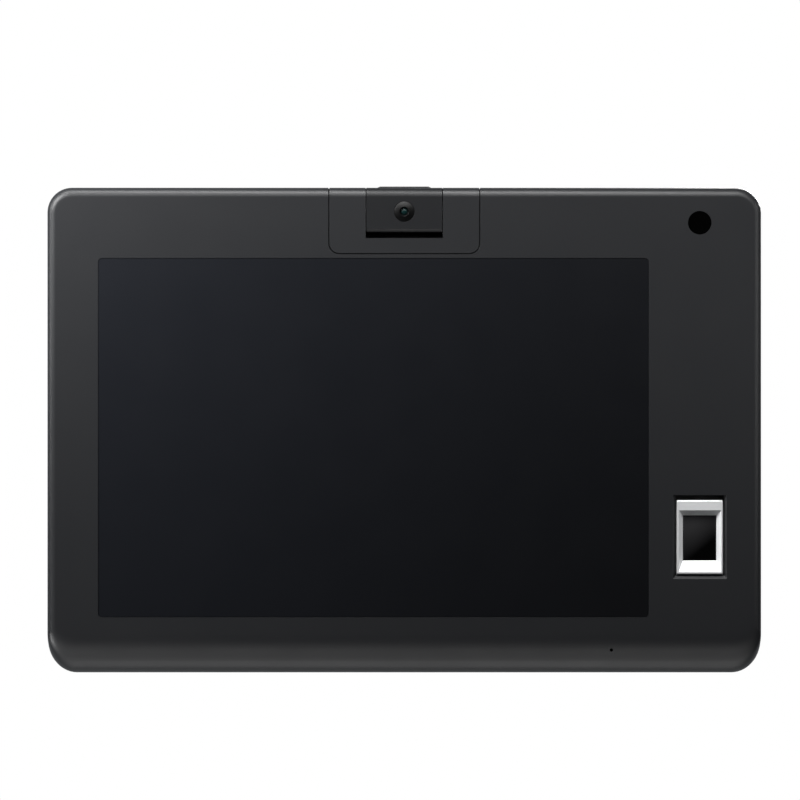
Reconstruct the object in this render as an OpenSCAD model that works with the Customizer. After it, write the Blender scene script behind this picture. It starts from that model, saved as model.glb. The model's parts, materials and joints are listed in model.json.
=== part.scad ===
// Wall-mounted fingerprint terminal: a 10.1 inch display, a tilting camera block at the top
// edge, a fingerprint sensor at the right and a cable bay at the back.
// The origin is the centre of the rear mounting pattern, on the rear face.
// X runs to the right as the front is seen, Y from the front to the back, Z up.
// Depths (names ending in _d) are measured backwards from the front face.

/* [Body] */
// Width of the housing
body_w = 284; // [283:0.5:292]
// Height of the housing
body_h = 193.2; // [192:0.2:200]
// Depth of the housing, front face to rear face
body_t = 32; // [32:0.5:36]
// Depth of the front housing, from its face to the seam
seam_d = 20; // [20:0.5:21]
// Wall thickness of both housings
wall = 2.4; // [2.2:0.1:2.6]
// Radius of the upper corners
top_r = 9.8; // [9:0.2:12]
// Horizontal radius of the lower corners
low_rx = 11.5; // [11:0.5:13]
// Vertical radius of the lower corners
low_rz = 12.8; // [12:0.2:15]
// Rounding between the front face and the side walls
side_edge_r = 3.4; // [2.6:0.2:3.6]
// Rounding between the front face and the top wall
top_edge_r = 3.8; // [3:0.2:3.8]
// Height of the curved chin under the display
chin_h = 15.5; // [14:0.5:16]
// Depth that the chin curves back
chin_depth = 14; // [12:0.5:14]
// Rounding around the rear face
rear_r = 6; // [5:0.5:6]

/* [Display] */
// Width of the display opening
window_w = 219; // [218:0.5:221]
// Height of the display opening
window_h = 142.9; // [142:0.1:144]
// Distance from the left side to the opening
window_left = 20.2; // [19.8:0.1:20.4]
// Distance from the top to the opening
window_top = 28; // [27.9:0.1:28.2]
// Corner radius of the opening
window_r = 1.6; // [1:0.2:2]

/* [Camera] */
// Width of the panel around the camera
panel_w = 59.6; // [58:0.1:61]
// Height of that panel
panel_h = 26.1; // [25.8:0.1:26.2]
// Width of the tilting block
head_w = 30.1; // [29.5:0.1:30.3]
// Height of the tilting block's face
head_h = 17.7; // [17.2:0.1:17.8]
// Height of the finger gap below the block
finger_gap = 2.4; // [2.2:0.1:2.4]
// Width of the finger ridge on top of the block
grip_w = 21.4; // [18:0.2:22]

/* [Fingerprint sensor] */
// Width of the metal frame
fp_w = 18.4; // [18.2:0.1:18.8]
// Height of the metal frame
fp_h = 29.5; // [29.3:0.1:29.9]
// Distance of the frame's centre from the right side
fp_right = 24.5; // [24.2:0.1:24.6]
// Height of the frame's centre above the bottom
fp_up = 54.1; // [53:0.1:55]
// Width of the sensing area
sensor_w = 13.2; // [12.8:0.1:13.2]
// Height of the sensing area
sensor_h = 17.9; // [17.5:0.1:18]

/* [Small features] */
// Diameter of the round sensor window
eye_dia = 9.4; // [8.6:0.1:9.6]
// Distance of the round window's centre below the top
eye_down = 14; // [13.5:0.1:14.2]
// Diameter of the microphone hole
mic_dia = 1.3; // [0.8:0.1:1.4]

/* [Rear] */
// Spacing of the mounting holes, both ways
mount_pitch = 75; // [75:1:76]
// Number of cooling slots
vent_count = 15; // [9:2:17]
// Width of the cable bay inside
bay_w = 84; // [82:1:84]
// Height of the cable bay inside
bay_h = 34; // [32:1:34]

/* [Hidden] */
$fn = 48;
eps = 0.01;

// Where the main features lie
left_x = -body_w / 2;
right_x = body_w / 2;
top_z = body_h / 2;
low_z = -body_h / 2;
window_x = left_x + window_left + window_w / 2;
window_z = top_z - window_top - window_h / 2;
fp_x = right_x - fp_right;
fp_z = low_z + fp_up;
sensor_z = fp_z - 0.3;
eye_z = top_z - eye_down;
mic_x = 82.4;
mic_z = low_z + 9.3;

// Front wall, glass and display stack, as depths
front_wall = 2.6;
glass_d = 0.2;
glass_t = 2.1;
glass_gap = 0.05;
ledge_d = glass_d + glass_t;
ledge_back_d = ledge_d + 1.3;
panel_d = ledge_back_d + 0.5;
panel_t = 2.6;
frame_d = panel_d + panel_t + 0.1;
frame_t = 1;
board_d = 11;
board_t = 1.6;
board_back_d = board_d + board_t;
board_x = 75;
board_low_z = low_z + 50.5;
board_top_z = board_low_z + 94;
display_w = 229.4;
display_h = 149;

// Fingerprint frame: its face and the sensor as depths, the widths of its flat rim left, right,
// below and above the sloping faces, and how far its pocket reaches past it at the sides,
// below and above
fp_face_d = 0.6;
sensor_d = 2.8;
fp_rim = [0.9, 0.6, 1, 4];
fp_flange_w = 22.5;
fp_flange_h = 34.8;
pocket_reach = [1.6, 1.9, 2.1];
pocket_gap = 0.4;
pocket_d = 1.5;

// Camera block, measured from its pivot
pivot_d = 9;
pivot_up = 9.2;
pivot_z = top_z - pivot_up;
head_low = head_h - pivot_up;
head_back_r = pivot_up;
head_split = 3.2;
bay_half = head_w / 2 + 0.3;
cheek = 2.65;
lens_up = -0.3;
lens_ring_r = 4;
cheek_out = bay_half + cheek;
panel_r = 4;
seam = 0.4;

// Rear side
cover_wall = 2.4;
inner_back_d = body_t - cover_wall;
bay_wall = 1.6;
bay_top_z = low_z + 48.5;
bay_floor_d = 12;
jack_x = -22;
usb_x = 2;
dc_x = 22;
jack_w = 16;
jack_t = 13.4;
jack_l = 21;
usb_w = 13.4;
usb_t = 5.9;
usb_l = 14;
dc_w = 9;
dc_t = 11;
dc_l = 14.5;
dc_centre_d = board_back_d + 5.6;
speaker_x = 100;
speaker_z = -52;
speaker_r = 13;
button_x = 100;
button_d = 16.6;

cover_bosses = concat(
  [for (s = [-1, 1]) for (z = [top_z - 14.5, 0, low_z + 26.5]) [s * (right_x - 10.2), z]],
  [for (s = [-1, 1]) for (t = [-1, 1]) [s * 62, t * (top_z - 9.7)]]
);
frame_bosses = [
  [left_x + 9.6, 42], [left_x + 9.6, -36],
  [window_x + display_w / 2 + 7.2, 50], [window_x + display_w / 2 + 7.2, 4]
];
board_holes = [
  for (x = [-board_x + 5, 0, board_x - 5]) for (z = [board_low_z + 5, board_top_z - 5])
    [x == 0 && z < 0 ? -9.4 : x, z]
];
fp_bosses = [[fp_x, fp_z - 21], [fp_x, fp_z + 21]];
eye_bosses = [[fp_x - 8.2, eye_z], [fp_x + 8.2, eye_z]];
surround_bosses = [[-36, top_z - 12.5], [36, top_z - 12.5]];

// ---- helpers ----

function y_of(d) = d - body_t;

function arc(cx, cy, rx, ry, from, to, n) =
  [for (i = [0:n]) let(a = from + (to - from) * i / n) [cx + rx * cos(a), cy + ry * sin(a)]];

// A rounded rectangle between two corners
function rounded(x0, z0, x1, z1, r, n = 5) = concat(
  arc(x1 - r, z1 - r, r, r, 0, 90, n), arc(x0 + r, z1 - r, r, r, 90, 180, n),
  arc(x0 + r, z0 + r, r, r, 180, 270, n), arc(x1 - r, z0 + r, r, r, 270, 360, n)
);

function rounded_at(cx, cz, w, h, r, n = 5) =
  rounded(cx - w / 2, cz - h / 2, cx + w / 2, cz + h / 2, r, n);

// The housing's outline with its sides, top and bottom moved in
function outline(side, top, low, n = 14) =
  let(
    x = right_x - side, zt = top_z - top, zb = low_z + low,
    tx = top_r - side, tz = top_r - top, bx = low_rx - side, bz = low_rz - 0.55 * low
  ) concat(
    arc(x - tx, zt - tz, tx, tz, 0, 90, n), arc(-x + tx, zt - tz, tx, tz, 90, 180, n),
    arc(-x + bx, zb + bz, bx, bz, 180, 270, n), arc(x - bx, zb + bz, bx, bz, 270, 360, n)
  );

// The outline inside the walls, moved in further by gap
function inner_outline(gap, n = 5) =
  let(
    x = right_x - wall - gap, z = top_z - wall - gap,
    t = top_r - wall - gap, bx = 13 - gap, bz = 15.5 - gap
  ) concat(
    arc(x - t, z - t, t, t, 0, 90, n), arc(-x + t, z - t, t, t, 90, 180, n),
    arc(-x + bx, -z + bz, bx, bz, 180, 270, n), arc(x - bx, -z + bz, bx, bz, 270, 360, n)
  );

// How far a rounding of radius r moves a wall in at depth d
function edge_in(d, r) = d >= r ? 0 : r - sqrt(r * r - (r - d) * (r - d));
function chin_in(d) =
  d >= chin_depth ? 0 : chin_h * (1 - sqrt(1 - pow((chin_depth - d) / chin_depth, 2)));

// 2D shapes in X and Z, extruded between two depths
module slab(d0, d1) {
  translate([0, y_of(d1), 0]) rotate([90, 0, 0]) linear_extrude(d1 - d0) children();
}

// 2D shapes in Y and Z, extruded along X
module across(x0, x1) {
  translate([x0, 0, 0]) rotate([90, 0, 90]) linear_extrude(x1 - x0) children();
}

// A cylinder along Y at x, z between two depths
module rod(p, r, d0, d1) {
  translate([p[0], y_of(d0), p[1]]) rotate([-90, 0, 0]) cylinder(r = r, h = d1 - d0);
}

// A box from ranges in X, depth and Z
module block(x0, x1, d0, d1, z0, z1) {
  translate([x0, y_of(d0), z0]) cube([x1 - x0, d1 - d0, z1 - z0]);
}

// A closed skin through sections [depth, points], all with the same number of points
module loft(sections) {
  n = len(sections[0][1]);
  last = len(sections) - 1;
  polyhedron(
    points = [for (s = sections) for (p = s[1]) [p[0], y_of(s[0]), p[1]]],
    faces = concat(
      [[for (i = [n - 1:-1:0]) i]], [[for (i = [0:n - 1]) last * n + i]],
      [for (k = [0:last - 1]) for (i = [0:n - 1]) let(j = (i + 1) % n)
        [k * n + i, k * n + j, (k + 1) * n + j]],
      [for (k = [0:last - 1]) for (i = [0:n - 1]) let(j = (i + 1) % n)
        [k * n + i, (k + 1) * n + j, (k + 1) * n + i]]
    )
  );
}

// A wire of round section through points, which must not run along the direction up
module wire(points, r, up, sides = 8) {
  function unit(v) = v / norm(v);
  last = len(points) - 1;
  rings = [for (i = [0:last]) let(
    along = unit(points[min(i + 1, last)] - points[max(i - 1, 0)]),
    u = unit(cross(up, along)), v = cross(along, u)
  ) [for (k = [0:sides - 1]) let(a = 360 * k / sides) points[i] + r * (cos(a) * u + sin(a) * v)]];
  polyhedron(
    points = [for (ring = rings) for (p = ring) p],
    faces = concat(
      [[for (k = [0:sides - 1]) k]],
      [[for (k = [sides - 1:-1:0]) last * sides + k]],
      [for (i = [0:last - 1]) for (k = [0:sides - 1]) let(m = (k + 1) % sides)
        [i * sides + k, (i + 1) * sides + k, (i + 1) * sides + m, i * sides + m]]
    )
  );
}

// A flat flexible cable: a strip that follows [x, depth] points, between two heights
module ribbon(points, z0, z1, t = 0.3) {
  path = [for (p = points) [p[0], y_of(p[1])]];
  back = [for (i = [len(path) - 1:-1:0]) path[i] + [0, t]];
  translate([0, 0, z0]) linear_extrude(z1 - z0) polygon(concat(path, back));
}

// A pan-head screw along Y: the shank runs forward from under the head
module screw(p, head_d, shank_r, shank_l, head_r, head_t) {
  difference() {
    union() {
      rod(p, shank_r, head_d - shank_l, head_d + eps);
      rod(p, head_r, head_d, head_d + head_t);
    }
    translate([p[0], y_of(head_d + head_t * 0.45), p[1]]) rotate([-90, 0, 0]) {
      cube([head_r * 1.1, 0.45, head_t * 2], center = true);
      cube([0.45, head_r * 1.1, head_t * 2], center = true);
    }
  }
}

// ---- housings ----

front_depths = concat(
  [for (b = [0:3:45]) chin_depth * (1 - cos(b))],
  [for (b = [54:9:90]) chin_depth * (1 - cos(b))],
  [seam_d]
);

module front_skin() {
  loft([for (d = front_depths)
    [d, outline(edge_in(d, side_edge_r), edge_in(d, top_edge_r), chin_in(d))]]);
}

module front_cavity() {
  intersection() {
    slab(front_wall, seam_d + 1) polygon(inner_outline(0));
    across(left_x, right_x) polygon(concat(
      [[y_of(front_wall), top_z], [y_of(front_wall), low_z + chin_h]],
      arc(y_of(chin_depth), low_z + chin_h, chin_depth - front_wall, chin_h - wall, 180, 270, 8),
      [[y_of(seam_d + 2), low_z + wall], [y_of(seam_d + 2), top_z]]
    ));
  }
}

// The opening for the camera panel: straight sides, open at the top, two round corners
module notch(w, h, r, d0, d1) {
  slab(d0, d1) polygon(concat(
    [[w / 2, top_z + 5], [-w / 2, top_z + 5]],
    arc(-w / 2 + r, top_z - h + r, r, r, 180, 270, 6),
    arc(w / 2 - r, top_z - h + r, r, r, 270, 360, 6)
  ));
}

module front_bosses() {
  for (p = cover_bosses) rod(p, 3, p[1] < low_z + 12 ? 3.2 : 2, seam_d);
  for (p = frame_bosses) rod(p, 2.8, 2, frame_d);
  for (p = fp_bosses) rod(p, 2.6, 2, 5.8);
  for (p = eye_bosses) rod(p, 2.2, 2, 8.4);
  for (p = surround_bosses) rod(p, 3, 2, 9);
  rod([mic_x, mic_z], 3.5, 3.6, 6.5);
  for (s = [-1, 1]) block(button_x + s * 9 - 1, button_x + s * 9 + 1, 12.6, 18.4,
    low_z + wall - 0.2, low_z + 8.4);
}

module front_pilot_holes() {
  for (p = cover_bosses) rod(p, 1.5, 8, seam_d + 1);
  for (p = concat(frame_bosses, fp_bosses)) rod(p, 1.25, 3.2, 8);
  for (p = eye_bosses) rod(p, 1, 4, 9);
  for (p = surround_bosses) rod(p, 1.25, 3.4, 10);
}

module window_cut() {
  slab(-1, ledge_d) polygon(rounded_at(window_x, window_z, window_w, window_h, window_r));
  slab(ledge_d - eps, 5) polygon(rounded_at(window_x, window_z, 217.4, 137.5, 1));
}

// The pocket around the fingerprint frame: an upright wall above it, slopes on the other
// sides, and a narrow gap at their foot
module fingerprint_cut() {
  x = fp_w / 2;
  z = fp_h / 2;
  side = x + pocket_reach[0];
  foot = rounded(fp_x - x - pocket_gap, fp_z - z - pocket_gap, fp_x + x + pocket_gap,
    fp_z + z + pocket_reach[2] - 0.1, 0.3, 2);
  loft([
    [-0.1, rounded(fp_x - side, fp_z - z - pocket_reach[1], fp_x + side,
      fp_z + z + pocket_reach[2], 0.3, 2)],
    [pocket_d, foot],
    [front_wall + 1, foot]
  ]);
}

module front_housing() color([0.16, 0.16, 0.17]) {
  difference() {
    union() {
      difference() {
        front_skin();
        front_cavity();
      }
      slab(front_wall - 0.2, ledge_back_d) polygon(
        rounded_at(window_x, window_z, window_w + 4.5, window_h + 4.5, 2));
      front_bosses();
    }
    window_cut();
    fingerprint_cut();
    notch(panel_w + 2 * seam, panel_h + seam, panel_r + seam, -1, seam_d + 1);
    rod([fp_x, eye_z], eye_dia / 2, -1, front_wall + 1);
    rod([mic_x, mic_z], mic_dia / 2, -1, 8);
    front_pilot_holes();
    translate([button_x, y_of(button_d), low_z - 1]) linear_extrude(4)
      polygon(rounded_at(0, 0, 12.2, 3.6, 1.7, 6));
  }
}

rear_sections = concat(
  [[seam_d, 0]],
  [for (a = [0:10:90]) [body_t - rear_r + rear_r * sin(a), rear_r * (1 - cos(a))]]
);

// The lip that locates the cover inside the front housing, clear of the camera bay
module cover_lip() {
  difference() {
    union() {
      slab(seam_d - 1.4, seam_d + 1) polygon(inner_outline(0.15));
      slab(seam_d, seam_d + 1) polygon(inner_outline(-0.3));
    }
    slab(seam_d - 2, seam_d + 2) polygon(inner_outline(1.35));
    block(-41, 41, seam_d - 2, seam_d, 60, top_z);
  }
}

module speaker_slots(x) {
  for (i = [-3:3]) let(z = i * 3.3, half = sqrt(speaker_r * speaker_r - z * z) - 1)
    slab(inner_back_d - 1, body_t + 1) polygon(
      rounded_at(x, speaker_z + z, 2 * half, 1.7, 0.8, 3));
}

module cooling_slots() {
  for (i = [0:vent_count - 1]) let(x = 12 * (i - (vent_count - 1) / 2))
    slab(inner_back_d - 1, body_t + 1) polygon(rounded_at(x, top_z - 30, 2.6, 14, 1.25, 3));
}

module rear_cover() color([0.12, 0.12, 0.13]) {
  difference() {
    union() {
      difference() {
        loft([for (s = rear_sections) [s[0], outline(s[1], s[1], s[1])]]);
        slab(seam_d - 1, body_t - 5) polygon(inner_outline(0));
        slab(body_t - 5 - eps, inner_back_d) polygon(inner_outline(1.8));
      }
      cover_lip();
      for (p = cover_bosses) rod(p, 4.4, seam_d, inner_back_d + 0.5);
      for (x = [-1, 1]) for (z = [-1, 1])
        rod([x * mount_pitch / 2, z * mount_pitch / 2], 5.5, body_t - 10.5, inner_back_d + 0.5);
    }
    for (p = cover_bosses) {
      rod(p, 1.7, seam_d - 1, body_t + 1);
      rod(p, 3.1, seam_d + 4, body_t + 1);
    }
    for (x = [-1, 1]) for (z = [-1, 1])
      rod([x * mount_pitch / 2, z * mount_pitch / 2], 2.9, body_t - 8, body_t + 1);
    for (s = [-1, 1]) speaker_slots(s * speaker_x);
    cooling_slots();
    block(-bay_w / 2 - bay_wall - 0.1, bay_w / 2 + bay_wall + 0.1, 20, body_t + 1,
      bay_top_z - bay_h - bay_wall - 0.1, bay_top_z + bay_wall + 0.1);
    slab(body_t - 0.25, body_t + 1) polygon(rounded_at(0, 0, 57, 37, 2, 4));
  }
}

// ---- display ----

module touch_glass() color([0.05, 0.06, 0.08]) {
  slab(glass_d, ledge_d) polygon(
    rounded_at(window_x, window_z, window_w - 2 * glass_gap, window_h - 2 * glass_gap,
      window_r - glass_gap));
}

module display_gasket() color([0.08, 0.08, 0.08]) {
  slab(ledge_back_d, panel_d) difference() {
    translate([window_x, window_z]) square([224, 147.5], center = true);
    translate([window_x, window_z]) square([219, 138.6], center = true);
  }
}

module display_panel() color([0.2, 0.22, 0.26]) {
  translate([0, 0, window_z - display_h / 2])
    block(window_x - display_w / 2, window_x + display_w / 2, panel_d, panel_d + panel_t,
      0, display_h);
}

module display_frame() color([0.72, 0.73, 0.75]) {
  w = display_w + 0.8;
  h = display_h + 0.8;
  difference() {
    union() {
      slab(panel_d + 0.2, frame_d + frame_t) translate([window_x, window_z])
        square([w + 1.6, h + 1.6], center = true);
      for (p = frame_bosses) let(s = p[0] < window_x ? -1 : 1, edge = window_x + s * w / 2)
        block(min(edge, p[0] + s * 3), max(edge, p[0] + s * 3), frame_d, frame_d + frame_t,
          p[1] - 4, p[1] + 4);
      for (p = board_holes) rod(p, 2.6, frame_d, board_d);
    }
    slab(panel_d - 1, frame_d) translate([window_x, window_z]) square([w, h], center = true);
    for (p = frame_bosses) rod(p, 1.5, frame_d - 1, frame_d + 2);
    for (p = board_holes) rod(p, 1.25, frame_d - 1, board_d + 1);
    slab(frame_d - 1, frame_d + 2) {
      for (x = [-38, 36]) for (z = [-26, 28])
        polygon(rounded_at(x, z, 50, 40, 4, 3));
      for (s = [-1, 1]) polygon(rounded_at(window_x + s * 99, -42, 22, 50, 4, 3));
      polygon(rounded_at(window_x - 86, 2, 22, 32, 3, 3));
    }
  }
}

module display_cable() color([0.75, 0.55, 0.2]) {
  x = window_x - 93;
  ribbon([[x, frame_d - 0.1], [x + 6, frame_d - 0.1], [x + 14, frame_d + 2.4],
    [x + 26, board_back_d + 0.6], [-board_x + 3, board_back_d + 0.6]], -10, 14);
}

// ---- electronics ----

module main_board() color([0.05, 0.3, 0.15]) {
  difference() {
    block(-board_x, board_x, board_d, board_back_d, board_low_z, board_top_z);
    for (p = board_holes) rod(p, 1.5, board_d - 1, board_back_d + 1);
  }
}

module chip(x, z, w, h, t) {
  block(x - w / 2, x + w / 2, board_back_d, board_back_d + t, z - h / 2, z + h / 2);
}

module board_components() color([0.1, 0.1, 0.11]) {
  chip(-15, 10, 17, 17, 1.3);
  for (i = [0:3]) chip(16, 28 - 13 * i, 12, 9, 1);
  chip(-48, 8, 13, 11, 1);
  chip(-48, -12, 8, 8, 0.9);
  for (i = [0:2]) chip(-60, 12 - 11 * i, 7, 7, 3);
  chip(52, -14, 10, 10, 1);
  chip(34, -26, 14, 6, 1.6);
  for (i = [0:3]) rod([40 + 8 * i, 38], 3.1, board_back_d, board_back_d + 5.4);
  for (i = [0:1]) chip(62, 6 + 16 * i, 10, 5, 3.2);
  // Sockets for the display, camera, speaker, fingerprint and small sensor cables
  chip(-board_x + 5, 2, 4, 26, 1.4);
  chip(-24, 37.5, 7, 5, 3.2);
  for (s = [-1, 1]) chip(s * 56, -34, 4, 6, 3);
  chip(board_x - 6, fp_z + 10, 4, 10, 1.4);
  for (z = [31, -12, -20]) chip(board_x - 4, z, 4, 5, 2.4);
}

module thermal_pad() color([0.7, 0.72, 0.78]) {
  block(-23, -7, board_back_d + 1.3, board_back_d + 1.7, 2, 18);
}

module heat_sink() color([0.75, 0.76, 0.78]) {
  base_d = board_back_d + 1.7;
  block(-36, 6, base_d, base_d + 2, -11, 31);
  for (i = [0:8]) block(-36, 6, base_d + 2 - eps, base_d + 8, -11 + 5.1 * i, -9.8 + 5.1 * i);
}

module wireless_module() color([0.78, 0.79, 0.8]) {
  block(-66, -50, board_back_d, board_back_d + 2.4, 26, 39);
}

module wireless_antenna() color([0.85, 0.6, 0.25]) {
  inside = left_x + wall;
  block(inside, inside + 0.3, 6, 16, 52, 78);
  wire([[inside + 0.3, y_of(11), 56], [-134, y_of(12), 54], [-124, y_of(14), 50],
    [-100, y_of(15), 42], [-78, y_of(15.6), 36], [-66.2, y_of(14), 33]], 0.55, [0, 1, 0]);
}

module coin_cell_holder() color([0.9, 0.88, 0.8]) {
  p = [38, 8];
  difference() {
    rod(p, 11.8, board_back_d, board_back_d + 4.6);
    rod(p, 10.1, board_back_d + 1, board_back_d + 6);
    block(p[0] - 3, p[0] + 3, board_back_d + 1, board_back_d + 6, p[1] - 14, p[1]);
  }
}

module coin_cell() color([0.8, 0.8, 0.82]) {
  rod([38, 8], 10, board_back_d + 1, board_back_d + 4);
  rod([38, 8], 8.6, board_back_d + 4 - eps, board_back_d + 4.2);
}

// The network socket opens downwards, with a slot for the plug's latch
module network_jack() color([0.75, 0.76, 0.78]) {
  mouth = bay_top_z + 0.1;
  d0 = board_back_d;
  difference() {
    block(jack_x - jack_w / 2, jack_x + jack_w / 2, d0, d0 + jack_t, mouth, mouth + jack_l);
    block(jack_x - 5.9, jack_x + 5.9, d0 + 3.4, d0 + 10.4, mouth - 1, mouth + 15);
    block(jack_x - 3.1, jack_x + 3.1, d0 + 1.4, d0 + 3.5, mouth - 1, mouth + 12);
  }
  for (i = [-3.5:3.5]) block(jack_x + 1.02 * i - 0.2, jack_x + 1.02 * i + 0.2, d0 + 9.3,
    d0 + 10.4 + eps, mouth + 3, mouth + 13);
}

module usb_port() color([0.78, 0.79, 0.8]) {
  mouth = bay_top_z + 0.1;
  d0 = board_back_d;
  difference() {
    block(usb_x - usb_w / 2, usb_x + usb_w / 2, d0, d0 + usb_t, mouth, mouth + usb_l);
    block(usb_x - 6.25, usb_x + 6.25, d0 + 0.4, d0 + 5.5, mouth - 1, mouth + 10.5);
  }
  block(usb_x - 5.6, usb_x + 5.6, d0 + 3.2, d0 + 5, mouth + 0.6, mouth + 10.6);
}

// The barrel socket: a round cavity with a contact pin on its axis
module power_jack() color([0.1, 0.1, 0.1]) {
  mouth = bay_top_z + 0.1;
  centre = [dc_x, y_of(dc_centre_d), mouth];
  difference() {
    block(dc_x - dc_w / 2, dc_x + dc_w / 2, board_back_d, board_back_d + dc_t, mouth,
      mouth + dc_l);
    translate(centre - [0, 0, 1]) cylinder(r = 3.2, h = 10.5);
  }
  translate(centre + [0, 0, 0.5]) cylinder(r = 1, h = 9.2);
}

module port_bay() color([0.1, 0.1, 0.11]) {
  x = bay_w / 2;
  z0 = bay_top_z - bay_h;
  w = bay_wall;
  difference() {
    union() {
      block(-x - w, x + w, bay_floor_d - w, body_t, z0 - w, bay_top_z + w);
      block(-x - 4, x + 4, inner_back_d - 1.5, inner_back_d, z0 - 4, bay_top_z + 2.6);
    }
    block(-x, x, bay_floor_d, body_t + 1, z0, bay_top_z);
    for (c = [[jack_x, jack_w, jack_t], [usb_x, usb_w, usb_t], [dc_x, dc_w, dc_t]])
      block(c[0] - c[1] / 2 - 0.1, c[0] + c[1] / 2 + 0.1, board_back_d - 0.1,
        board_back_d + c[2] + 0.1, bay_top_z - 1, bay_top_z + w + 1);
    block(-x - 2, x + 2, board_d - 0.1, board_back_d, board_low_z - 0.1, bay_top_z + w + 1);
  }
}

// ---- camera ----

module at_pivot() {
  translate([0, y_of(pivot_d), pivot_z]) children();
}

module tilt_bore(x0, x1, r) {
  at_pivot() translate([x0, 0, 0]) rotate([0, 90, 0]) cylinder(r = r, h = x1 - x0);
}

// The top of the housing seen from the side: a block with its front edge rounded
module top_profile() {
  r = top_edge_r;
  polygon(concat(
    [[y_of(0), top_z - panel_h], [y_of(seam_d), top_z - panel_h], [y_of(seam_d), top_z]],
    arc(y_of(r), top_z - r, r, r, 90, 180, 16)
  ));
}

module head_pocket() {
  tilt_bore(-bay_half, bay_half, head_back_r + 0.4);
  block(-bay_half, bay_half, -1, pivot_d, top_z - head_h - finger_gap, top_z + 2);
  block(-bay_half, bay_half, front_wall, pivot_d + 1, pivot_z - 12, pivot_z);
  block(-bay_half, bay_half, -1, pivot_d + 4, pivot_z, top_z + 2);
}

module camera_surround() color([0.15, 0.15, 0.16]) {
  floor_z = pivot_z - 13.4;
  ear_z = surround_bosses[0][1];
  difference() {
    union() {
      intersection() {
        across(-panel_w, panel_w) top_profile();
        notch(panel_w, panel_h, panel_r, -1, seam_d + 1);
        union() {
          block(-panel_w, panel_w, 0, front_wall, 0, 120);
          block(-panel_w, panel_w, 0, seam_d, top_z - wall, 120);
          block(-cheek_out, cheek_out, 0, seam_d, floor_z, 120);
          for (s = [-1, 1]) block(s * 28.9 - 1.1, s * 28.9 + 1.1, 0, 10.6, ear_z - 8, 120);
        }
      }
      for (s = [-1, 1]) block(s * 34.5 - 5, s * 34.5 + 5, 9, 10.6, ear_z - 5, ear_z + 5);
    }
    head_pocket();
    tilt_bore(-cheek_out - 1, -bay_half + 1, 2.2);
    tilt_bore(bay_half - 1, cheek_out + 1, 1.5);
    for (p = surround_bosses) rod(p, 1.4, 8, 12);
  }
}

// The tilting block seen from the side, about its pivot
module head_section(split_from, split_to) {
  front = -pivot_d;
  r = top_edge_r;
  intersection() {
    union() {
      polygon(concat(
        [[front, -head_low + 1.3], [front + 1.1, -head_low], [0, -head_low], [0, pivot_up]],
        arc(front + r, pivot_up - r, r, r, 90, 180, 16)
      ));
      intersection() {
        circle(r = head_back_r);
        translate([-1, -head_low]) square([20, 40]);
      }
    }
    translate([split_from, -20]) square([split_to - split_from, 40]);
  }
}

module camera_head() color([0.14, 0.14, 0.15]) {
  difference() {
    at_pivot() across(-head_w / 2, head_w / 2) head_section(-20, head_split);
    at_pivot() translate([-10.5, -7.2, -6.9]) cube([21, 7.2 + head_split + 1, 14.6]);
    at_pivot() translate([-grip_w / 2 - 0.05, -4.85, pivot_up - 0.8])
      cube([grip_w + 0.1, 4.5, 2]);
    rod([0, pivot_z + lens_up], lens_ring_r + 0.1, -1, 3);
    for (s = [-1, 1]) tilt_bore(s * (head_w / 2 + 0.3) - 0.9, s * (head_w / 2 + 0.3) + 0.9, 3.8);
    tilt_bore(-head_w / 2, 0, 2.25);
    tilt_bore(0, head_w / 2, 1.55);
  }
}

module camera_head_back() color([0.14, 0.14, 0.15]) {
  difference() {
    at_pivot() across(-head_w / 2, head_w / 2) head_section(head_split, 20);
    at_pivot() across(-13.4, 13.4) intersection() {
      circle(r = head_back_r - 1.6);
      translate([0, -6.9]) square([20, 40]);
    }
    for (s = [-1, 1]) tilt_bore(s * (head_w / 2 + 0.3) - 0.9, s * (head_w / 2 + 0.3) + 0.9, 3.8);
  }
}

// A rubber ridge with ribs along its length and sloping ends
module tilt_grip() color([0.09, 0.09, 0.09]) {
  low = pivot_up - 0.8;
  at_pivot() {
    translate([-grip_w / 2, -4.8, low]) cube([grip_w, 4.4, 0.8]);
    translate([0, -4.8, 0]) rotate([-90, 0, 0]) linear_extrude(4.4) polygon([
      [-grip_w / 2, -pivot_up + eps], [-grip_w / 2 + 0.6, -pivot_up - 0.3],
      [grip_w / 2 - 0.6, -pivot_up - 0.3], [grip_w / 2, -pivot_up + eps]
    ]);
    for (i = [0:4]) translate([-grip_w / 2 + 0.9, -4.6 + 0.9 * i, low + 1])
      cube([grip_w - 1.8, 0.45, 0.3]);
  }
}

// A shallow dome with the lens at its centre
module camera_lens_ring() color([0.04, 0.04, 0.04]) {
  at_pivot() translate([0, -pivot_d, lens_up]) rotate([-90, 0, 0]) rotate_extrude()
    polygon(concat(
      [[1.35, 0.35], [1.35, 2.4], [4.9, 2.4], [4.9, 1.82], [lens_ring_r, 1.82],
        [lens_ring_r, 0.1]],
      [for (i = [1:8]) let(r = lens_ring_r + (1.9 - lens_ring_r) * i / 8)
        [r, 0.1 - 0.75 * (1 - pow(r / lens_ring_r, 2))]]
    ));
}

module camera_lens() color([0.1, 0.2, 0.22]) {
  at_pivot() translate([0, -pivot_d, lens_up]) rotate([-90, 0, 0]) rotate_extrude()
    polygon(concat(
      [[0, 1.6], [1.3, 1.6], [1.3, 0.4]],
      [for (i = [1:6]) let(r = 1.3 - 1.3 * i / 6) [r, 0.4 - 0.45 * (1 - pow(r / 1.3, 2))]]
    ));
}

module camera_module() color([0.12, 0.12, 0.13]) {
  at_pivot() translate([-4.2, -2.6, -4.2 + lens_up]) cube([8.4, 3.6, 8.4]);
  at_pivot() translate([0, -6.6, lens_up]) rotate([-90, 0, 0]) cylinder(r = 3.3, h = 4.1);
}

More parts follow.
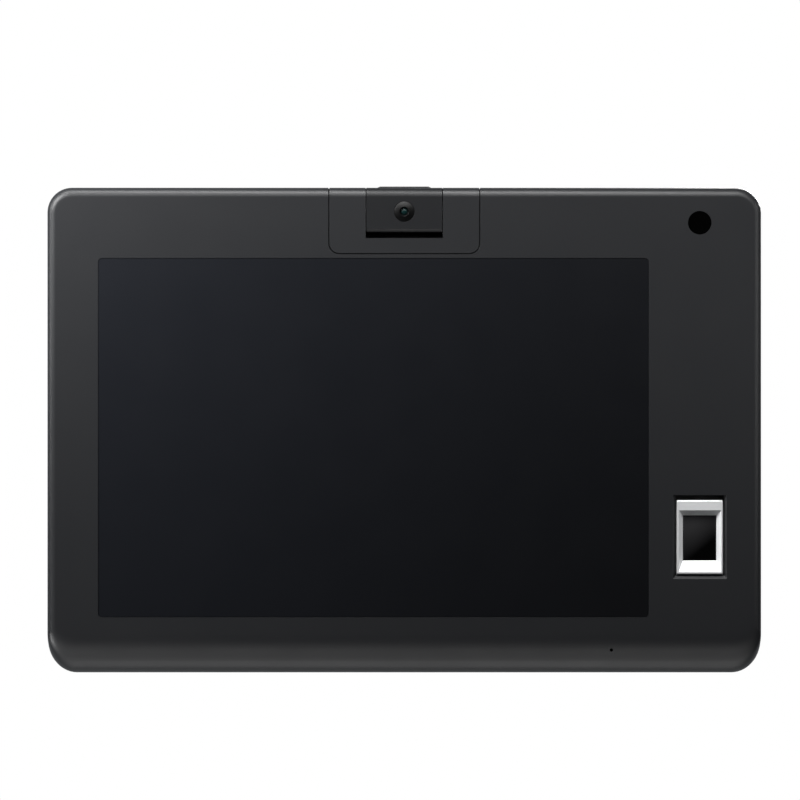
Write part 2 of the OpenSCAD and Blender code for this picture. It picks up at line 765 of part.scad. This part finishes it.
module camera_board() color([0.05, 0.3, 0.15]) {
  at_pivot() translate([-9.6, 1, -6.2]) cube([19.2, 1, 12.4]);
  at_pivot() translate([-9, -1.6, -2.2]) cube([3.4, 2.61, 4.4]);
}

module tilt_pin_left() color([0.7, 0.7, 0.72]) {
  difference() {
    union() {
      tilt_bore(-cheek_out, -12, 2.2);
      tilt_bore(-cheek_out - 1.2, -cheek_out, 3.4);
    }
    tilt_bore(-cheek_out - 3, 0, 1.2);
  }
}

module tilt_pin_right() color([0.7, 0.7, 0.72]) {
  tilt_bore(12, cheek_out, 1.5);
  tilt_bore(cheek_out, cheek_out + 1.2, 2.6);
}

module tilt_washers() color([0.1, 0.1, 0.1]) {
  for (side = [[-1, 2.3], [1, 1.65]]) let(x = side[0] * (head_w / 2 - 0.17)) difference() {
    tilt_bore(x - 0.42, x + 0.42, 3.6);
    tilt_bore(x - 2, x + 2, side[1]);
  }
}

module camera_cable() color([0.12, 0.12, 0.12]) {
  x = -24;
  wire([
    [-9.1, y_of(pivot_d), pivot_z], [-17, y_of(pivot_d), pivot_z],
    [x + 2.4, y_of(pivot_d), pivot_z], [x + 0.7, y_of(pivot_d), pivot_z - 0.7],
    [x, y_of(pivot_d), pivot_z - 2.4], [x, y_of(pivot_d + 0.3), top_z - 24],
    [x, y_of(pivot_d + 0.6), board_top_z + 14], [x, y_of(11.6), board_top_z + 8],
    [x, y_of(14.4), board_top_z + 2], [x, y_of(15), board_top_z - 3],
    [x, y_of(14.9), board_top_z - 8]
  ], 0.9, [0, 1, 0]);
}

// ---- fingerprint sensor ----

module fingerprint_frame() color([0.8, 0.81, 0.82]) {
  x0 = fp_x - fp_w / 2 + fp_rim[0];
  x1 = fp_x + fp_w / 2 - fp_rim[1];
  z0 = fp_z - fp_h / 2 + fp_rim[2];
  z1 = fp_z + fp_h / 2 - fp_rim[3];
  difference() {
    union() {
      loft([
        [fp_face_d, rounded_at(fp_x, fp_z, fp_w - 0.7, fp_h - 0.7, 0.3, 2)],
        [fp_face_d + 0.35, rounded_at(fp_x, fp_z, fp_w, fp_h, 0.5, 2)],
        [3.9, rounded_at(fp_x, fp_z, fp_w, fp_h, 0.5, 2)]
      ]);
      slab(2.8, 3.9) polygon(rounded_at(fp_x, fp_z, fp_flange_w, fp_flange_h, 1, 2));
    }
    loft([
      [fp_face_d - eps, [[x1, z1], [x0, z1], [x0, z0], [x1, z0]]],
      [sensor_d - 0.1, [for (c = [[1, 1], [-1, 1], [-1, -1], [1, -1]])
        [fp_x + c[0] * (sensor_w / 2 + 0.05), sensor_z + c[1] * (sensor_h / 2 + 0.05)]]]
    ]);
    slab(sensor_d - 0.2, 5) translate([fp_x, sensor_z])
      square([sensor_w + 0.1, sensor_h + 0.1], center = true);
  }
}

module fingerprint_gasket() color([0.06, 0.06, 0.06]) {
  slab(front_wall, 2.8) difference() {
    polygon(rounded_at(fp_x, fp_z, fp_flange_w - 0.1, fp_flange_h - 0.2, 1, 2));
    polygon(rounded_at(fp_x, fp_z, fp_w + 0.3, fp_h + 0.4, 0.5, 2));
  }
}

module fingerprint_sensor() color([0.03, 0.03, 0.035]) {
  slab(sensor_d, 4) translate([fp_x, sensor_z]) square([sensor_w, sensor_h], center = true);
  slab(3.9, 4.75) translate([fp_x, sensor_z]) square([17, 24], center = true);
}

module fingerprint_board() color([0.05, 0.3, 0.15]) {
  slab(4.75, 5.75) translate([fp_x, fp_z]) square([21, 31], center = true);
}

module fingerprint_clamp() color([0.2, 0.2, 0.2]) {
  difference() {
    slab(5.8, 7.4) polygon(rounded_at(fp_x, fp_z, 9, 48, 2, 3));
    for (p = fp_bosses) rod(p, 1.4, 5, 8);
  }
}

module fingerprint_cable() color([0.85, 0.82, 0.72]) {
  ribbon([[fp_x - 5, 5.76], [fp_x - 9, 6.2], [fp_x - 16, 9.4], [board_x + 6, board_back_d + 0.4],
    [board_x - 4, board_back_d + 0.6]], fp_z + 6, fp_z + 14);
}

// ---- round window and microphone ----

module eye_window() color([0.01, 0.01, 0.01]) {
  rod([fp_x, eye_z], eye_dia / 2 - 0.08, 0.3, front_wall + 0.1);
  rod([fp_x, eye_z], 5.8, front_wall, 3.6);
}

module eye_boot() color([0.08, 0.08, 0.08]) {
  difference() {
    rod([fp_x, eye_z], 5.8, 3.6, 8.4);
    rod([fp_x, eye_z], 3.6, 3, 9);
  }
}

module eye_board() color([0.05, 0.3, 0.15]) {
  difference() {
    block(fp_x - 10.3, fp_x + 10.3, 8.4, 9.4, eye_z - 6.5, eye_z + 6.5);
    for (p = eye_bosses) rod(p, 1.2, 8, 10);
  }
  rod([fp_x, eye_z], 2.4, 5.4, 8.4 + eps);
}

module microphone_boot() color([0.08, 0.08, 0.08]) {
  difference() {
    rod([mic_x, mic_z], 3, 6.5, 8.5);
    rod([mic_x, mic_z], 0.7, 6, 9);
  }
}

module microphone_board() color([0.05, 0.3, 0.15]) {
  block(mic_x - 7, mic_x + 7, 8.5, 9.5, mic_z - 3.5, mic_z + 6.5);
  block(mic_x - 2, mic_x + 2, 9.5 - eps, 10.6, mic_z - 1.5, mic_z + 1.5);
}

// ---- power button ----

module power_button() color([0.1, 0.1, 0.1]) {
  translate([button_x, y_of(button_d), low_z + 0.2]) {
    linear_extrude(3.2) polygon(rounded_at(0, 0, 12, 3.4, 1.6, 6));
    translate([-7.5, -1.7, 2.3]) cube([15, 3.4, 0.9]);
  }
}

module power_switch() color([0.1, 0.3, 0.2]) {
  z = low_z + 8.4;
  block(button_x - 10, button_x + 10, button_d - 4, button_d + 1.8, z, z + 1.2);
  block(button_x - 3, button_x + 3, button_d - 3, button_d + 1.7, z - 3.2, z + eps);
  translate([button_x, y_of(button_d), z - 4.1]) cylinder(r = 1.4, h = 1);
}

// ---- speakers ----

module speaker(x) {
  back = inner_back_d - 0.1;
  difference() {
    slab(back - 6.4, back) polygon(rounded_at(x, speaker_z, 34, 30, 3, 4));
    rod([x, speaker_z], speaker_r - 0.6, back - 1.4, back + 1);
  }
  rod([x, speaker_z], 5.2, back - 1.4 - eps, back - 0.5);
}

module speaker_left() color([0.1, 0.1, 0.1]) speaker(-speaker_x);
module speaker_right() color([0.1, 0.1, 0.1]) speaker(speaker_x);

module speaker_wires() color([0.6, 0.1, 0.1]) {
  for (s = [-1, 1]) for (i = [0:1]) let(z = speaker_z + 8 + 2 * i) wire([
    [s * 82.9, y_of(25), z], [s * 79, y_of(24.8), z + 0.5], [s * 73, y_of(23), z + 2.5],
    [s * 68, y_of(19), z + 5], [s * 63, y_of(15.6), z + 7.5], [s * 58, y_of(14.6), z + 9]
  ], 0.5, [0, 0.2, 1]);
}

// Two wires side by side through points [x, depth, z, x and z offset of the second wire]
module wire_pair(points) {
  for (i = [0:1])
    wire([for (p = points) [p[0] + i * p[3], y_of(p[1]), p[2] + i * p[4]]], 0.4, [0, 1, 0]);
}

// Wires from the eye, the microphone and the power switch to the main board
module sensor_wires() color([0.12, 0.12, 0.14]) {
  socket_x = board_x - 2;
  g = 1.3;
  k = 0.9;
  wire_pair([[fp_x - 9.5, 9.85, eye_z - 5, 0, g], [98, 10.5, 74, -k, k], [84, 13, 62, -k, k],
    [78, 14, 42, -g, 0], [77, 14, 34, -k, k], [socket_x, 13.8, 30.4, 0, g]]);
  wire_pair([[mic_x - 4, 9.95, mic_z + 4, g, 0], [mic_x - 4, 10.8, -78, g, 0],
    [79, 12, -60, g, 0], [80, 14.6, -36, g, 0], [79, 14.6, -26, g, 0], [77, 14, -21.6, k, k],
    [socket_x, 13.8, -20.6, 0, g]]);
  wire_pair([[92, 15, low_z + 10.1, 0, g], [87, 15.5, low_z + 12.5, k, k], [85, 16.5, -76, g, 0],
    [85, 16.5, -40, g, 0], [82, 16, -22, g, 0], [78, 14.4, -14, k, k],
    [socket_x, 13.8, -12.6, 0, g]]);
}

// ---- fasteners and label ----

module mounting_inserts() color([0.75, 0.6, 0.3]) {
  for (x = [-1, 1]) for (z = [-1, 1]) let(p = [x * mount_pitch / 2, z * mount_pitch / 2])
    difference() {
      rod(p, 2.9, body_t - 8, body_t);
      rod(p, 1.65, body_t - 9, body_t + 1);
    }
}

module cover_screws() color([0.2, 0.2, 0.21]) {
  for (p = cover_bosses) screw(p, seam_d + 4, 1.45, 14, 2.75, 2);
}

module frame_screws() color([0.75, 0.75, 0.76]) {
  for (p = frame_bosses) screw(p, frame_d + frame_t, 1.2, 4, 2.5, 1.4);
}

module board_screws() color([0.75, 0.75, 0.76]) {
  for (p = board_holes) screw(p, board_back_d, 1.2, 4, 2.3, 1.4);
}

module fingerprint_screws() color([0.75, 0.75, 0.76]) {
  for (p = fp_bosses) screw(p, 7.4, 1.2, 4, 2.2, 1.3);
}

module eye_screws() color([0.75, 0.75, 0.76]) {
  for (p = eye_bosses) screw(p, 9.4, 0.95, 4.6, 1.8, 1.1);
}

module surround_screws() color([0.75, 0.75, 0.76]) {
  for (p = surround_bosses) screw(p, 10.6, 1.2, 6, 2.4, 1.4);
}

module rating_label() color([0.75, 0.75, 0.76]) {
  slab(body_t - 0.25, body_t - 0.08) polygon(rounded_at(0, 0, 56.4, 36.4, 1.8, 4));
}

front_housing();
rear_cover();
touch_glass();
display_gasket();
display_panel();
display_frame();
main_board();
board_components();
thermal_pad();
heat_sink();
wireless_module();
wireless_antenna();
coin_cell();
coin_cell_holder();
network_jack();
usb_port();
power_jack();
port_bay();
camera_surround();
camera_head();
camera_head_back();
tilt_grip();
camera_lens_ring();
camera_lens();
camera_module();
camera_board();
tilt_pin_left();
tilt_pin_right();
tilt_washers();
camera_cable();
fingerprint_frame();
fingerprint_gasket();
fingerprint_sensor();
fingerprint_board();
fingerprint_clamp();
fingerprint_cable();
eye_window();
eye_boot();
eye_board();
microphone_boot();
microphone_board();
power_button();
power_switch();
speaker_left();
speaker_right();
speaker_wires();
sensor_wires();
display_cable();
mounting_inserts();
cover_screws();
frame_screws();
board_screws();
fingerprint_screws();
eye_screws();
surround_screws();
rating_label();
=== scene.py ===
"""Looks of a wall-mounted fingerprint terminal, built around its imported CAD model."""
import json
import math

import bmesh
import bpy
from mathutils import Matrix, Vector


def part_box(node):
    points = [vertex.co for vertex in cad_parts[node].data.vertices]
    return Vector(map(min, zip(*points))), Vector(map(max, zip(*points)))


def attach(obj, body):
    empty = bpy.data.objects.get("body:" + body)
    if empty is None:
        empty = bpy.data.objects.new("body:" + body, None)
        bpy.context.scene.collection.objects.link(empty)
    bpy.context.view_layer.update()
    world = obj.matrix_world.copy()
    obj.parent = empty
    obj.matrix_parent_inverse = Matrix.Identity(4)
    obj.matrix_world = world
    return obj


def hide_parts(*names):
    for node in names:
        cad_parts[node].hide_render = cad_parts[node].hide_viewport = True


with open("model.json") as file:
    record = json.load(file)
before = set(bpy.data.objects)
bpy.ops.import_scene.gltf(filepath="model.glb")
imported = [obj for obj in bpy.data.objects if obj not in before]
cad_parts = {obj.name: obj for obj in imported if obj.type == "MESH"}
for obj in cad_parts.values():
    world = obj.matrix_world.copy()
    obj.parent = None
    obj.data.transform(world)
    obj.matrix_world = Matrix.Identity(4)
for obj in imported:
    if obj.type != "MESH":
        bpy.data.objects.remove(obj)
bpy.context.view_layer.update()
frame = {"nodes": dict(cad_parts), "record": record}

MM = 0.001
NODES = frame["nodes"]
BODY_OF = {n: body for body, names in frame["record"]["behaviour"]["bodies"].items() for n in names}
SLOT_OF = {s["node"]: s["material_slot"] for s in frame["record"]["subparts"]}
SCENE = bpy.context.scene

# ---- camera, lights and surroundings ----

VIEW_WIDTH = 318.1 * MM      # what the picture's width shows, at the front face
CAMERA_DISTANCE = 3.5        # a long lens, as in the photograph
CAMERA_AT = (-1.7 * MM, 12.12 * MM)
SENSOR = 36.0
FLOOR_Z = -0.5
FLOOR_RADIUS = 6


def add_camera():
    data = bpy.data.cameras.new("camera")
    data.sensor_width = SENSOR
    data.lens = SENSOR * CAMERA_DISTANCE / VIEW_WIDTH
    data.clip_end = 50
    camera = bpy.data.objects.new("camera", data)
    front_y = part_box("front_housing")[0].y
    camera.location = (CAMERA_AT[0], front_y - CAMERA_DISTANCE, CAMERA_AT[1])
    camera.rotation_euler = (math.pi / 2, 0, 0)
    SCENE.collection.objects.link(camera)
    SCENE.camera = camera


def add_light(name, place, target, size, power, spread=100):
    """A rectangular lamp at a place, aimed at a target, in metres, watts and degrees."""
    data = bpy.data.lights.new(name, "AREA")
    data.shape = "RECTANGLE"
    data.size, data.size_y = size
    data.energy = power
    data.spread = math.radians(spread)
    light = bpy.data.objects.new(name, data)
    light.location = place
    light.rotation_euler = (Vector(target) - Vector(place)).to_track_quat("-Z", "Y").to_euler()
    light.visible_camera = False
    SCENE.collection.objects.link(light)
    return light


def add_lights():
    """Near key lamps at the upper left, strips that draw the rounded edges, and a lamp behind.

    Returns a list of the lamps below the object, and the one for the camera block's lower edge.
    """
    add_light("key", (-0.3, -0.2, 0.17), (-0.05, 0, 0), (0.12, 0.15), 0.24)
    add_light("near_key", (-0.26, -0.17, 0.2), (-0.08, 0, 0.03), (0.12, 0.12), 0.34)
    add_light("face", (0, -0.22, 0.22), (0, 0, 0), (0.6, 0.06), 0.29)
    add_light("top", (-0.03, -0.14, 0.3), (0, -0.03, 0.09), (0.7, 0.08), 0.46, 50)
    add_light("left", (-0.45, -0.1, 0.12), (-0.14, -0.02, 0.03), (0.1, 0.2), 0.09, 50)
    add_light("right", (0.45, -0.14, 0.12), (0.14, -0.02, 0.03), (0.1, 0.2), 0.03, 50)
    add_light("front_right", (0.42, -0.3, 0.08), (0.14, -0.02, 0.03), (0.1, 0.2), 0.025, 50)
    add_light("back", (0.3, 0.5, 0.3), (0, 0, 0), (0.3, 0.3), 4.0)
    low = [
        add_light("chin", (0, -0.12, -0.32), (0, -0.02, -0.08), (0.8, 0.15), 0.157),
        add_light("low", (0, -0.25, -0.3), (0, -0.03, -0.09), (0.9, 0.12), 0.089, 60),
        add_light("under", (0, 0, -0.3), (0, -0.02, -0.09), (0.8, 0.12), 0.136, 80),
        add_light("corner", (-0.35, -0.12, -0.22), (-0.135, -0.02, -0.085), (0.1, 0.1), 0.042, 40),
    ]
    return low, add_light("lip", (0, -0.135, -0.25), (0, -0.03, 0.08), (0.1, 0.05), 0.01, 50)


def reach(lights, state, pieces):
    """Makes lamps leave some pieces out (EXCLUDE), or light only them (INCLUDE)."""
    chosen = bpy.data.collections.new(state.lower())
    for piece in pieces:
        chosen.objects.link(piece)
    for link in chosen.collection_objects:
        link.light_linking.link_state = state
    for light in lights:
        light.light_linking.receiver_collection = chosen


def add_world():
    """White behind the object, and a studio in what it reflects: dark in front, grey behind."""
    world = bpy.data.worlds.new("studio")
    SCENE.world = world
    world.use_nodes = True
    tree = Tree(world.node_tree)
    tree.clear()
    seen = tree.add("ShaderNodeBackground", Color=(1, 1, 1, 1), Strength=1.0)
    place = tree.add("ShaderNodeTexCoord")
    axes = tree.add("ShaderNodeSeparateXYZ")
    tree.link(place.outputs["Generated"], axes.inputs["Vector"])
    back = tree.ramp(axes.outputs["Y"], [(0.0, 0.0), (0.5, 0.0), (0.75, 0.15), (1.0, 0.5)],
                     remap=(-1, 1))
    studio = tree.add("ShaderNodeBackground", Color=(0.93, 0.97, 1.0, 1))
    tree.link(back, studio.inputs["Strength"])
    path = tree.add("ShaderNodeLightPath")
    mix = tree.add("ShaderNodeMixShader")
    tree.link(path.outputs["Is Camera Ray"], mix.inputs[0])
    tree.link(studio.outputs[0], mix.inputs[1])
    tree.link(seen.outputs[0], mix.inputs[2])
    out = tree.add("ShaderNodeOutputWorld")
    tree.link(mix.outputs[0], out.inputs["Surface"])


def add_floor():
    """A pale round floor with its own lamp. Neither of them lights the object."""
    mesh = bpy.data.meshes.new("floor")
    edit = bmesh.new()
    bmesh.ops.create_circle(edit, cap_ends=True, segments=96, radius=FLOOR_RADIUS)
    edit.to_mesh(mesh)
    edit.free()
    floor = bpy.data.objects.new("floor", mesh)
    floor.location.z = FLOOR_Z
    floor.visible_diffuse = False
    floor.visible_glossy = False
    SCENE.collection.objects.link(floor)
    floor.data.materials.append(plain("floor", (0.8, 0.8, 0.8), 0.8, bump=0, vary=0.01))
    sun = bpy.data.lights.new("floor_lamp", "SUN")
    sun.energy = 3.5
    sun.angle = math.radians(70)
    lamp = bpy.data.objects.new("floor_lamp", sun)
    SCENE.collection.objects.link(lamp)
    reach([lamp], "INCLUDE", [floor])


# ---- materials ----

class Tree:
    """A node tree with short calls to add and link nodes."""

    def __init__(self, tree):
        self.tree = tree

    def clear(self):
        self.tree.nodes.clear()

    def add(self, kind, **values):
        node = self.tree.nodes.new(kind)
        for name, value in values.items():
            name = name.replace("_", " ")
            if name in node.inputs:
                node.inputs[name].default_value = value
            else:
                setattr(node, name.replace(" ", "_"), value)
        return node

    def link(self, start, end):
        self.tree.links.new(start, end)

    def ramp(self, value, stops, remap=(0, 1)):
        """A value between stops of (place, value), with the input's range mapped to 0 to 1."""
        span = self.add("ShaderNodeMapRange", From_Min=remap[0], From_Max=remap[1])
        self.link(value, span.inputs["Value"])
        ramp = self.add("ShaderNodeValToRGB")
        elements = ramp.color_ramp.elements
        while len(elements) < len(stops):
            elements.new(0.5)
        for element, (place, level) in zip(elements, stops):
            element.position = place
            color = level if isinstance(level, tuple) else (level,) * 3
            element.color = (*color, 1)
        self.link(span.outputs["Result"], ramp.inputs["Fac"])
        return ramp.outputs["Color"]

    def noise(self, size, detail, stretch=(1, 1, 1)):
        """Noise whose features are about size metres across, longer where stretch is below 1."""
        place = self.add("ShaderNodeTexCoord")
        mapping = self.add("ShaderNodeMapping")
        mapping.inputs["Scale"].default_value = stretch
        self.link(place.outputs["Object"], mapping.inputs["Vector"])
        noise = self.add("ShaderNodeTexNoise", Scale=1 / size, Detail=detail)
        self.link(mapping.outputs["Vector"], noise.inputs["Vector"])
        return noise.outputs["Fac"]

    def bump(self, height, strength, distance):
        bump = self.add("ShaderNodeBump", Strength=strength, Distance=distance)
        self.link(height, bump.inputs["Height"])
        return bump.outputs["Normal"]


DRIFT_SIZE = 18 * MM
GRAIN_DEPTH = 0.05           # of the grain's size


def shade(color, factor):
    return tuple(min(1.0, c * factor) for c in color)


def plain(name, color, roughness, metallic=0.0, gloss=0.5, grain=0.3 * MM, bump=0.1, vary=0.06,
          rough_vary=0.05, **sockets):
    """Moulded, cast or painted stock: fine grain in the bump, slow drifts in colour and gloss."""
    made = bpy.data.materials.new(name)
    made.use_nodes = True
    tree = Tree(made.node_tree)
    shader = made.node_tree.nodes["Principled BSDF"]
    shader.inputs["Metallic"].default_value = metallic
    shader.inputs["Specular IOR Level"].default_value = gloss
    for key, value in sockets.items():
        shader.inputs[key.replace("_", " ")].default_value = value
    drift_and_sheen = tree.noise(DRIFT_SIZE, 4)
    tree.link(tree.ramp(drift_and_sheen, [(0.3, shade(color, 1 - vary)), (0.7, shade(color, 1 + vary))]),
              shader.inputs["Base Color"])
    tree.link(tree.ramp(drift_and_sheen, [(0.3, roughness + rough_vary), (0.7, roughness - rough_vary)]),
              shader.inputs["Roughness"])
    if bump:
        fine = tree.noise(grain, 2)
        tree.link(tree.bump(fine, bump, GRAIN_DEPTH * grain), shader.inputs["Normal"])
    return made


def brushed(name, color, roughness, along):
    """Metal with fine drawn lines along one axis."""
    made = plain(name, color, roughness, metallic=1.0, bump=0, vary=0.03)
    tree = Tree(made.node_tree)
    stretch = [1.0, 1.0, 1.0]
    stretch["XYZ".index(along)] = 0.02
    lines = tree.noise(0.12 * MM, 2, stretch=tuple(stretch))
    shader = made.node_tree.nodes["Principled BSDF"]
    tree.link(tree.bump(lines, 0.15, 0.004 * MM), shader.inputs["Normal"])
    return made


def painted_sheen(name, colors, start, end, roughness, **sockets):
    """Painted sheen: a colour that runs from one place on the object to another, standing in for a
    soft reflection of the lamps.
    """
    made = plain(name, colors[0], roughness, bump=0, rough_vary=0.01, **sockets)
    tree = Tree(made.node_tree)
    run = Vector(end) - Vector(start)
    place = tree.add("ShaderNodeTexCoord")
    along = tree.add("ShaderNodeVectorMath", operation="DOT_PRODUCT")
    tree.link(place.outputs["Object"], along.inputs[0])
    along.inputs[1].default_value = run / run.length_squared
    first = Vector(start).dot(run) / run.length_squared
    # painted sheen: the base colour runs from colors[0] at start to colors[1] at end
    drift_and_sheen = tree.ramp(along.outputs["Value"], [(0.0, colors[0]), (1.0, colors[1])],
                      remap=(first, first + 1))
    tree.link(drift_and_sheen, made.node_tree.nodes["Principled BSDF"].inputs["Base Color"])
    return made


def circuit_board():
    """Green solder mask over a maze of copper tracks."""
    mask = (0.012, 0.10, 0.035)
    track = (0.03, 0.20, 0.06)
    made = plain("circuit_board", mask, 0.35, bump=0)
    tree = Tree(made.node_tree)
    shader = made.node_tree.nodes["Principled BSDF"]
    place = tree.add("ShaderNodeTexCoord")
    cells = tree.add("ShaderNodeTexVoronoi", Scale=520.0, distance="MANHATTAN")
    tree.link(place.outputs["Object"], cells.inputs["Vector"])
    tracks = tree.ramp(cells.outputs["Distance"], [(0.35, mask), (0.42, track), (0.52, mask)])
    tree.link(tracks, shader.inputs["Base Color"])
    tree.link(tree.bump(cells.outputs["Distance"], 0.2, 0.03 * MM), shader.inputs["Normal"])
    return made


def materials():
    black = (0.0105, 0.011, 0.0122)
    return {
        "front_plastic": plain("front_plastic", black, 0.42, gloss=0.28, bump=0.12, vary=0.04,
                               rough_vary=0.02),
        "cover_plastic": plain("cover_plastic", shade(black, 0.8), 0.55, bump=0.3, grain=0.4 * MM),
        "surround_plastic": plain("surround_plastic", black, 0.42, gloss=0.28, bump=0.1, vary=0.04,
                                  rough_vary=0.02),
        "camera_plastic": plain("camera_plastic", shade(black, 0.7), 0.42, gloss=0.2, bump=0.1,
                                rough_vary=0.02),
        "button_plastic": plain("button_plastic", black, 0.4, bump=0.05),
        # Anti-glare glass over a switched-off display: nearly black, a little blue. Its colour is
        # painted lighter at the upper left and darker at the lower right, a painted reflection of
        # the lamps.
        "screen_glass": painted_sheen("screen_glass", [(0.0040, 0.0048, 0.0070), (0.0008, 0.0010, 0.0016)],
                               (-0.12, 0, 0.07), (0.10, 0, -0.075), 0.42, gloss=0.2),
        "display": plain("display", (0.006, 0.007, 0.01), 0.3, bump=0),
        "black_foam": plain("black_foam", (0.01, 0.01, 0.01), 0.95, grain=0.5 * MM, bump=0.8),
        "sheet_metal": brushed("sheet_metal", (0.55, 0.56, 0.58), 0.35, "X"),
        "circuit_board": circuit_board(),
        "component_black": plain("component_black", (0.012, 0.012, 0.013), 0.6, grain=0.1 * MM),
        "thermal_pad": plain("thermal_pad", (0.25, 0.28, 0.36), 0.8, grain=0.6 * MM, bump=0.3),
        "heat_sink_metal": brushed("heat_sink_metal", (0.62, 0.63, 0.65), 0.4, "X"),
        "shield_metal": brushed("shield_metal", (0.60, 0.61, 0.62), 0.28, "X"),
        "antenna_film": plain("antenna_film", (0.45, 0.22, 0.03), 0.3, Coat_Weight=0.4),
        "light_plastic": plain("light_plastic", (0.62, 0.58, 0.47), 0.5),
        "black_rubber": plain("black_rubber", (0.008, 0.008, 0.0085), 0.72, grain=0.25 * MM,
                              bump=0.35),
        "lens_black": plain("lens_black", (0.001, 0.001, 0.0011), 0.36, gloss=0.22, bump=0,
                            rough_vary=0.01),
        "lens_glass": plain("lens_glass", (0.004, 0.014, 0.014), 0.16, gloss=0.14, bump=0,
                            rough_vary=0.01, Coat_Weight=0.06, Coat_Roughness=0.03),
        "pin_steel": brushed("pin_steel", (0.56, 0.57, 0.58), 0.3, "X"),
        "wire_black": plain("wire_black", (0.01, 0.01, 0.01), 0.55),
        "wire_red": plain("wire_red", (0.35, 0.012, 0.01), 0.5),
        "flat_cable": plain("flat_cable", (0.62, 0.58, 0.46), 0.4),
        "frame_silver": plain("frame_silver", (0.80, 0.81, 0.82), 0.42, metallic=0.44,
                              grain=0.08 * MM, bump=0.12, vary=0.02, rough_vary=0.02),
        # Painted sheen: the sensor's colour runs from lighter at its upper left to near black at
        # its lower right, standing in for a soft reflection of the lamps.
        "sensor_black": painted_sheen("sensor_black", [(0.04, 0.04, 0.042), (0.0003, 0.0003, 0.0003)],
                               (0.110, 0, -0.034), (0.120, 0, -0.046), 0.5, gloss=0.03),
        "eye_black": plain("eye_black", (0.0006, 0.0006, 0.0006), 0.05, bump=0, rough_vary=0.01),
        "brass": plain("brass", (0.62, 0.42, 0.14), 0.3, metallic=1.0, grain=0.3 * MM, bump=0.2),
        "screw_black": plain("screw_black", (0.012, 0.012, 0.013), 0.35, metallic=0.6),
        "screw_steel": brushed("screw_steel", (0.56, 0.56, 0.57), 0.3, "Y"),
        "label_silver": plain("label_silver", (0.42, 0.43, 0.44), 0.35, metallic=0.5),
    }


# ---- pieces ----

MERGE_DISTANCE = 0.0005 * MM
FLAT_ANGLE = 0.3             # degrees between faces of one flat side
EDGE_SEGMENTS = 2

# Width of the eased edges in mm, and the smallest angle in degrees that counts as an edge
USUAL_WIDTH = 0.06
EDGE_WIDTH = {"front_housing": 0.12, "rear_cover": 0.2, "camera_surround": 0.18,
              "camera_head": 0.15, "camera_head_back": 0.15, "fingerprint_frame": 0.08,
              "port_bay": 0.15, "tilt_grip": 0.08, "touch_glass": 0.05}
USUAL_ANGLE = 28
EDGE_ANGLE = {"fingerprint_frame": 15}


def refine(node):
    """A CAD node with its flat faces whole again, its edges eased and its curves shaded smooth."""
    edit = bmesh.new()
    edit.from_mesh(NODES[node].data)
    bmesh.ops.remove_doubles(edit, verts=edit.verts, dist=MERGE_DISTANCE)
    bmesh.ops.dissolve_limit(edit, angle_limit=math.radians(FLAT_ANGLE), verts=edit.verts,
                             edges=edit.edges)
    bmesh.ops.triangulate(edit, faces=edit.faces)
    mesh = bpy.data.meshes.new(node + "_fine")
    edit.verts.index_update()
    mesh.from_pydata([v.co[:] for v in edit.verts], [],
                     [[v.index for v in face.verts] for face in edit.faces])
    edit.free()
    mesh.shade_smooth()
    piece = bpy.data.objects.new(node + "_fine", mesh)
    SCENE.collection.objects.link(piece)
    bevel = piece.modifiers.new("eased edges", "BEVEL")
    bevel.width = EDGE_WIDTH.get(node, USUAL_WIDTH) * MM
    bevel.segments = EDGE_SEGMENTS
    bevel.limit_method = "ANGLE"
    bevel.angle_limit = math.radians(EDGE_ANGLE.get(node, USUAL_ANGLE))
    bevel.harden_normals = True
    bevel.miter_outer = "MITER_ARC"
    normals = piece.modifiers.new("normals", "WEIGHTED_NORMAL")
    normals.keep_sharp = True
    normals.weight = 100
    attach(piece, BODY_OF[node])
    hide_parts(node)
    piece.data.materials.append(FINISH[SLOT_OF[node]])
    return piece


add_camera()
add_world()
FINISH = materials()
add_floor()
low_lights, lip_light = add_lights()
pieces = {name: refine(name) for name in sorted(NODES)}
reach(low_lights, "EXCLUDE", [pieces["fingerprint_frame"], pieces["fingerprint_sensor"]])
reach([lip_light], "INCLUDE", [pieces["camera_head"]])

SCENE.view_settings.view_transform = "Standard"
